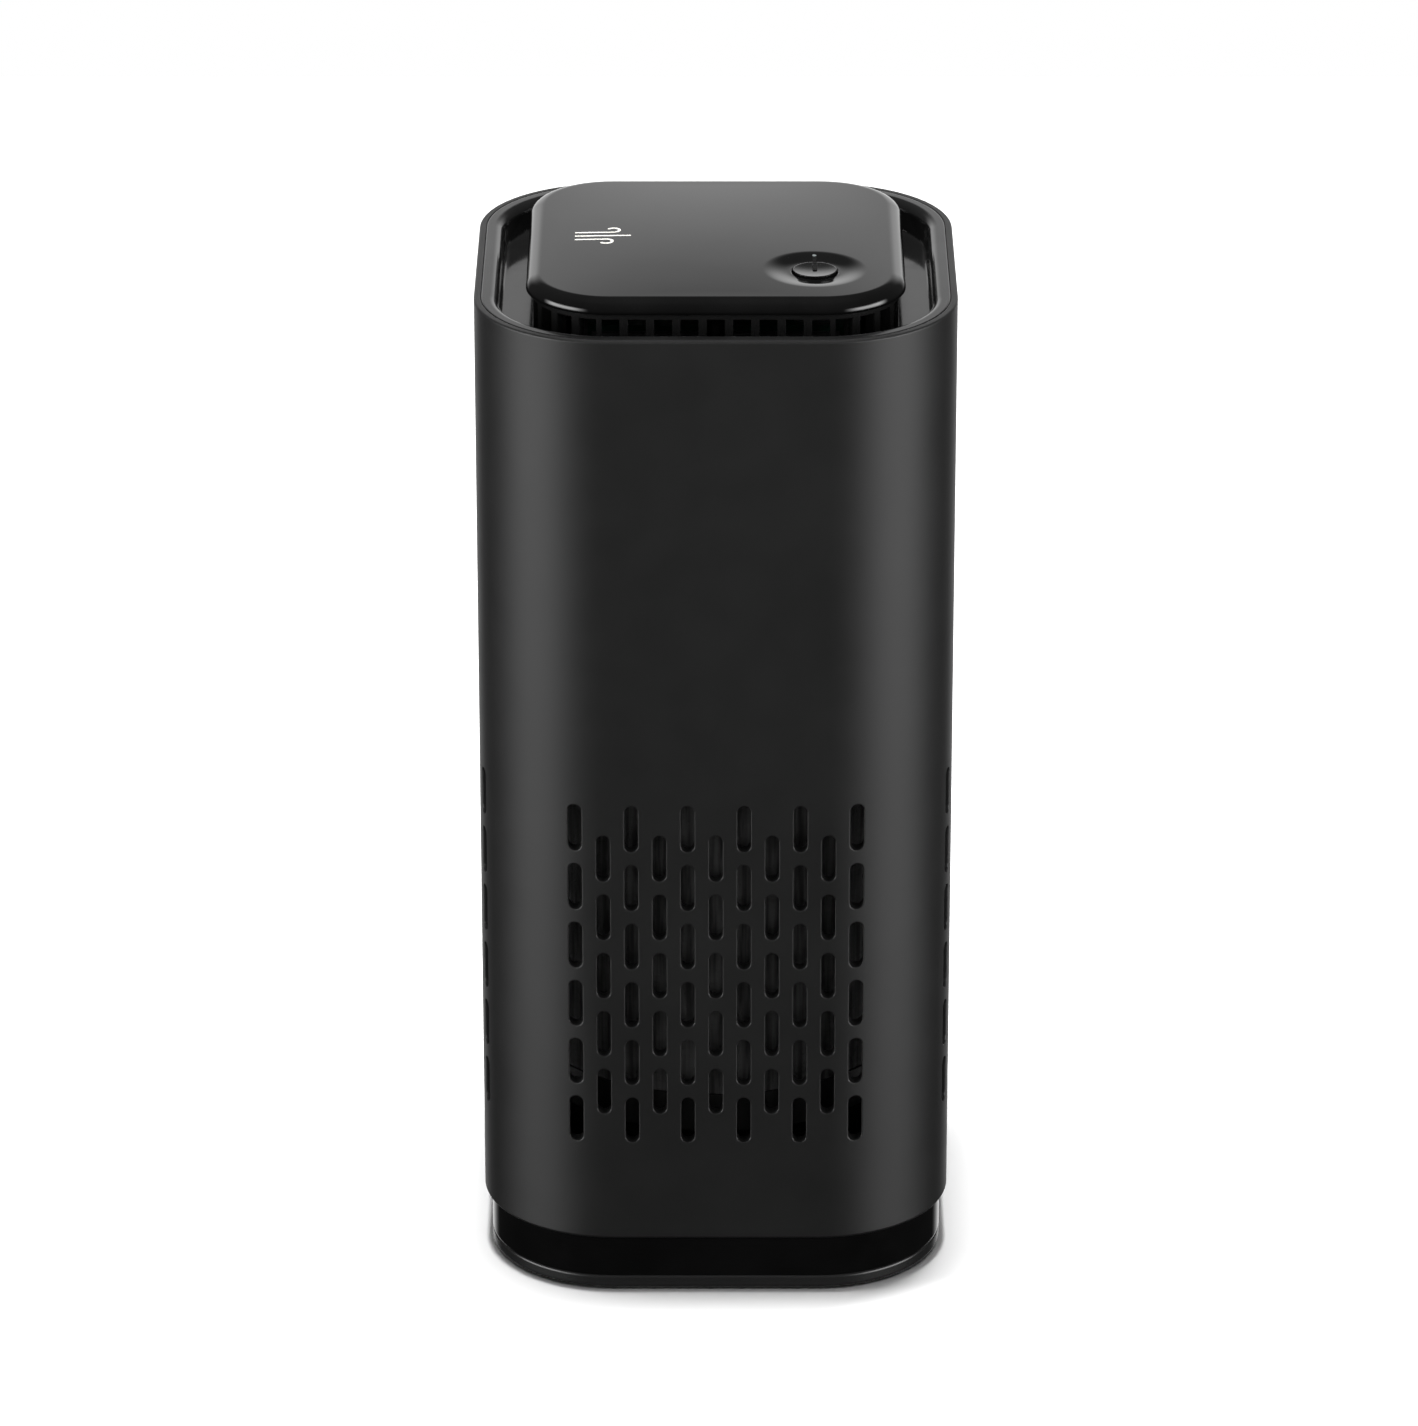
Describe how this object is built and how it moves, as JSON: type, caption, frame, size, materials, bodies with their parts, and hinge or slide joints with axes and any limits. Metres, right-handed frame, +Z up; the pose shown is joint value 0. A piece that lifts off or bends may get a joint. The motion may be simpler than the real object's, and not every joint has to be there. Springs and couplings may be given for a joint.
{
  "type": "air purifier",
  "caption": "Square tower desk air purifier with round corners, slotted sides, a lift-off housing over a round filter, an axial fan and a push button in a floating cap.",
  "frame": {"origin": "centre of the footprint on the surface it stands on", "axes": "+Z up, the front (button at the right) faces -Y, +X to the right seen from the front"},
  "size_m": [0.07, 0.07, 0.1553],
  "materials": {
    "housing_satin": "satin black, fine moulded grain",
    "trim_gloss": "gloss black",
    "vent_plastic": "semi-gloss black",
    "cap_gloss": "polished gloss black",
    "button_plastic": "satin black with a pale symbol",
    "base_gloss": "gloss black",
    "lip_plastic": "gloss black, slightly worn edge",
    "inner_black": "moulded, unpolished",
    "fan_plastic": "glass-filled, satin",
    "rubber": "matt",
    "filter_weave": "fine dark mesh",
    "filter_fibre": "pleated non-woven fibre",
    "carbon": "black carbon granules",
    "foam": "closed-cell foam",
    "steel": "zinc-plated",
    "magnet": "sintered ferrite",
    "copper": "enamelled copper wire",
    "circuit": "solder-resist green",
    "component": "moulded component cases",
    "plug_white": "natural nylon",
    "led": "clear moulded lamp",
    "lead_cover": "soft insulation"
  },
  "bodies": {
    "base": {"base_cover": "base_gloss", "bottom_plate": "lip_plastic", "rubber_feet": "rubber", "base_screws": "steel", "base_seal": "rubber", "filter_seat": "inner_black", "filter_bottom_cap": "inner_black", "filter_top_cap": "inner_black", "filter_media": "filter_fibre", "filter_mesh": "filter_weave", "carbon_sleeve": "carbon", "filter_core": "inner_black", "filter_gasket": "foam"},
    "housing": {"housing": "housing_satin", "trim_ring": "trim_gloss", "vent_ring": "vent_plastic", "top_panel": "cap_gloss", "fan_plate": "inner_black", "plate_screws": "steel", "fan_pads": "rubber", "fan_frame": "fan_plastic", "fan_screws": "steel", "bearings": "steel", "stator_core": "steel", "stator_coils": "copper", "motor_board": "circuit", "air_duct": "inner_black", "control_board": "circuit", "board_components": "component", "lead_connectors": "plug_white", "switch_body": "component", "button_led": "led", "light_pipe": "led", "board_tray": "inner_black", "tray_screws": "steel", "power_socket": "steel", "power_board": "circuit", "power_board_screws": "steel", "power_lead": "lead_cover", "fan_lead": "lead_cover"},
    "rotor": {"impeller": "fan_plastic", "rotor_yoke": "steel", "rotor_magnet": "magnet", "fan_shaft": "steel", "shaft_clip": "steel"},
    "button": {"power_button": "button_plastic", "switch_plunger": "plug_white"}
  },
  "joints": [
    {"name": "housing_lift", "type": "slide", "parent": "base", "child": "housing", "axis": [0, 0, 1], "range_m": [0, 0.085]},
    {"name": "fan_spin", "type": "hinge", "parent": "housing", "child": "rotor", "pos_m": [0, 0, 0.102], "axis": [0, 0, 1], "continuous": true},
    {"name": "button_press", "type": "slide", "parent": "housing", "child": "button", "axis": [0, 0, -1], "range_m": [0, 0.0005], "stiffness_N_per_m": 400, "springref_m": -0.0005}
  ]
}
